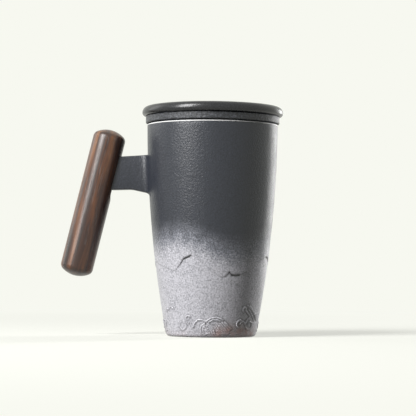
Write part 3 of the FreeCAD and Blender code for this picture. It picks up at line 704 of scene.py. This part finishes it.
bpy.ops.object.select_all(action="DESELECT")
bpy.ops.mesh.primitive_plane_add(size=FLOOR_SIZE)
floor = bpy.context.object
floor.name = "stage_floor"
paper = bpy.data.materials.new("pale_paper")
paper.use_nodes = True
tree = paper.node_tree
tree.nodes.clear()
ray = seen_rays(tree)
spot = add_node(tree, "ShaderNodeTexCoord").outputs["Object"]
reach = add_node(tree, "ShaderNodeVectorMath", {"operation": "LENGTH"}, {0: spot})
far = add_node(
    tree, "ShaderNodeMapRange", {"From Min": SHADE_START, "From Max": SHADE_END},
    {"Value": reach.outputs["Value"]})
shaded = add_node(
    tree, "ShaderNodeMix", {"data_type": "RGBA", 6: srgb("#6c6a68"), 7: srgb("#222222")}, {0: far.outputs[0]})
tone = add_node(
    tree, "ShaderNodeMix", {"data_type": "RGBA", 7: BACKGROUND}, {0: ray, 6: shaded.outputs[2]})
matt = add_node(tree, "ShaderNodeBsdfDiffuse", {}, {"Color": tone.outputs[2]})
glow = add_node(tree, "ShaderNodeEmission", {"Color": BACKGROUND, "Strength": 1})
fading = add_node(
    tree, "ShaderNodeMapRange",
    {"interpolation_type": "SMOOTHSTEP", "From Min": 0, "From Max": FADE_REACH, "To Min": 0.5, "To Max": 1},
    {"Value": reach.outputs["Value"]})
share = add_node(
    tree, "ShaderNodeMath", {"operation": "MULTIPLY"}, {0: ray, 1: fading.outputs[0]})
# A dim glow under the foot lights its flat, which can be looked at from below
under_foot = add_node(
    tree, "ShaderNodeMapRange",
    {"From Min": UNDER_FOOT, "From Max": UNDER_FOOT + 0.0005, "To Min": UNDER_FOOT_GLOW, "To Max": 0},
    {"Value": reach.outputs["Value"]})
share = add_node(
    tree, "ShaderNodeMath", {"operation": "MAXIMUM"}, {0: share.outputs[0], 1: under_foot.outputs[0]})
mixed = add_node(
    tree, "ShaderNodeMixShader", {}, {0: share.outputs[0], 1: matt.outputs[0], 2: glow.outputs[0]})
below = add_node(tree, "ShaderNodeNewGeometry").outputs["Backfacing"]
clear = add_node(tree, "ShaderNodeBsdfTransparent")
sided = add_node(tree, "ShaderNodeMixShader", {}, {0: below, 1: mixed.outputs[0], 2: clear.outputs[0]})
add_node(tree, "ShaderNodeOutputMaterial", {}, {"Surface": sided.outputs[0]})
floor.data.materials.append(paper)

world = bpy.data.worlds.new("dim_room")
world.use_nodes = True
bpy.context.scene.world = world
tree = world.node_tree
tree.nodes.clear()
ray = seen_rays(tree)
seen = add_node(tree, "ShaderNodeBackground", {"Color": BACKGROUND, "Strength": 1})
felt = add_node(tree, "ShaderNodeBackground", {"Color": srgb("#c8ccd4"), "Strength": ROOM_LIGHT})
mixed = add_node(tree, "ShaderNodeMixShader", {}, {0: ray, 1: felt.outputs[0], 2: seen.outputs[0]})
add_node(tree, "ShaderNodeOutputWorld", {}, {"Surface": mixed.outputs[0]})


def softbox(name, turn, distance, height, width, tall, power, aim=0.07):
    """A lamp at an angle round the mug from its front, in degrees, that faces the mug."""
    data = bpy.data.lights.new(name, "AREA")
    data.shape = "RECTANGLE"
    data.size = width
    data.size_y = tall
    data.energy = power
    lamp = bpy.data.objects.new(name, data)
    bpy.context.collection.objects.link(lamp)
    way = math.radians(turn)
    spot = Vector((distance * math.sin(way), -distance * math.cos(way), height))
    lamp.rotation_euler = (Vector((0, 0, aim)) - spot).to_track_quat("-Z", "Y").to_euler()
    lamp.location = spot
    return lamp


# Each lamp's angle round the mug, distance, height, width, length and watts
softbox("key_softbox", -47, 1.2, 0.85, 0.45, 1.1, 31)
softbox("side_softbox", -112, 1.3, 0.6, 0.6, 0.9, 2.5)
softbox("front_softbox", -20, 1.4, 0.5, 0.6, 0.6, 1.3).visible_glossy = False
softbox("back_softbox", 126, 1.0, 0.4, 0.2, 0.9, 9).visible_glossy = False
edge = softbox("edge_softbox", 145, 1.0, 0.14, 0.22, 0.5, 2.3)

# Light linking keeps the edge light off the grip, whose right side is nearly black: it lights only the cup,
# lid and infuser
flagged = bpy.data.collections.new("edge_light_receivers")
for piece in (cup, lid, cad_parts["infuser"]):
    flagged.objects.link(piece)
edge.light_linking.receiver_collection = flagged

lens = bpy.data.cameras.new("camera")
lens.sensor_width = 36
lens.lens = CAMERA_LENS
camera = bpy.data.objects.new("camera", lens)
bpy.context.collection.objects.link(camera)
yaw, pitch, roll = (math.radians(turn) for turn in CAMERA_TURNS)
camera.matrix_world = (
    Matrix.Translation((0, -CAMERA_BACK, CAMERA_HEIGHT)) @ Matrix.Rotation(yaw, 4, "Z")
    @ Matrix.Rotation(pitch, 4, "X") @ Matrix.Rotation(roll, 4, "Z"))
bpy.context.scene.camera = camera
bpy.context.scene.view_settings.view_transform = "Standard"
